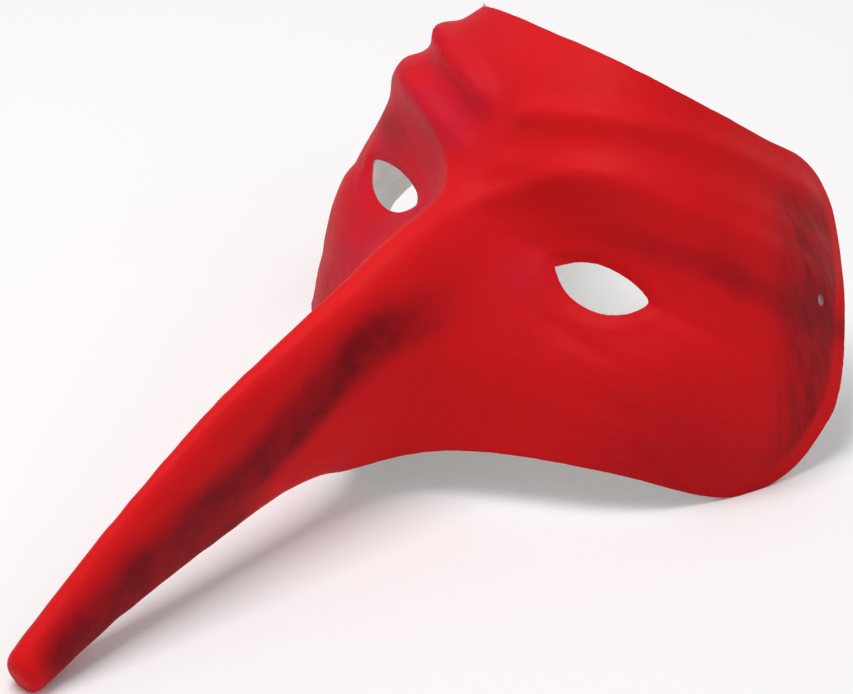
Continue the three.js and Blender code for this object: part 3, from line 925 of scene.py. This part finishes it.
# The lighter red on the upward-facing crest of the nose is a painted highlight.
colour = paint.mix_colour(crest, BRIGHT_RED, LIT_CREST_RED)
for share, red in ((reflection_share, REFLECTION_ROSE), (deep_and_shade_share, DEEP_AND_SHADE_RED), (wine_shade_share, WINE_SHADE_RED)):
    colour = paint.mix_colour(paint.contrast(share, low=0, high=1), colour, red)
paper = paint.mix_colour(paper_share, LIGHT_PAPER, DARK_PAPER)
colour = paint.mix_colour(inside, colour, paper)
paint.feed(paint.shader.inputs["Base Color"], colour)

# %% [markdown]
# The paint is satin: a little rougher where the strokes and the clouds lie thick, and dull on the
# bare paper inside. The brush left fine furrows, too low for the mesh, so a bump makes them.

# %% Dullness and brush marks
SHEEN = 0.07
BRUSH_FURROWS = dict(Strength=0.35, Distance=0.0006)

grain = paint.noise(place, scale=900, detail=3, roughness=0.6)
dullness = 0.42 + 0.12 * strokes + 0.10 * clouds + 0.30 * inside
surface = 0.7 * strokes + 0.25 * blotches + 0.12 * grain
bumps = paint.add("ShaderNodeBump", {}, {**BRUSH_FURROWS, "Height": surface})
paint.feed(paint.shader.inputs["Roughness"], dullness)
paint.feed(paint.shader.inputs["Normal"], bumps)
paint.feed(paint.shader.inputs["Specular IOR Level"], SHEEN)
mask.data.materials.append(paint.material)
print("nodes in the paint:", len(paint.tree.nodes))

# %% [markdown]
# ## Floor and light
# The mask lies on a plain pale floor under soft light: one lamp high up and a little to the left of
# the camera, a broad weak one from the right, and a pale sky that keeps the shadows open.

# %% Floor
PALE = (0.92, 0.92, 0.92, 1)
DULL = 0.9

bpy.ops.object.select_all(action="DESELECT")
bpy.ops.mesh.primitive_plane_add(size=6, location=(0, 0, 0))
floor = bpy.context.object
floor.name = "floor"
bare = Nodes("pale_floor")
bare.feed(bare.shader.inputs["Base Color"], PALE)
bare.feed(bare.shader.inputs["Roughness"], DULL)
floor.data.materials.append(bare.material)
floor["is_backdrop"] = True


# %% Lamps and sky
def lamp(name, right, top, near, distance, size, power, colour_of_light):
    """A square lamp, placed by how far it is to the right of, above and nearer than the mask."""
    way = right * to_right + top * to_top + near * towards
    way = way / np.linalg.norm(way)
    data = bpy.data.lights.new(name, "AREA")
    data.size = size
    data.energy = power
    data.color = colour_of_light
    thing = bpy.data.objects.new(name, data)
    bpy.context.scene.collection.objects.link(thing)
    facing = upright(way).to_track_quat("Z", "Y").to_matrix().to_4x4()
    thing.matrix_world = lay_down @ Matrix.Translation(upright(way * distance)) @ facing


lamp("key", right=-0.3, top=0.9, near=0.6, distance=900, size=0.5, power=5.4,
     colour_of_light=(1.0, 0.97, 0.98))
lamp("fill", right=0.5, top=0.1, near=0.9, distance=1000, size=0.8, power=0.6,
     colour_of_light=(1.0, 0.98, 1.0))

world = bpy.data.worlds.new("pale_sky")
world.use_nodes = True
sky = world.node_tree.nodes["Background"]
sky.inputs["Color"].default_value = (1, 1, 1, 1)
sky.inputs["Strength"].default_value = 0.5
bpy.context.scene.world = world
bpy.context.scene.view_settings.view_transform = "Standard"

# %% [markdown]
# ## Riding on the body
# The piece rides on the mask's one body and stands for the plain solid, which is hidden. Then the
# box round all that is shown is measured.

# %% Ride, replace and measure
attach(mask, "root")
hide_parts("mask_shell")

low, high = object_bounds()
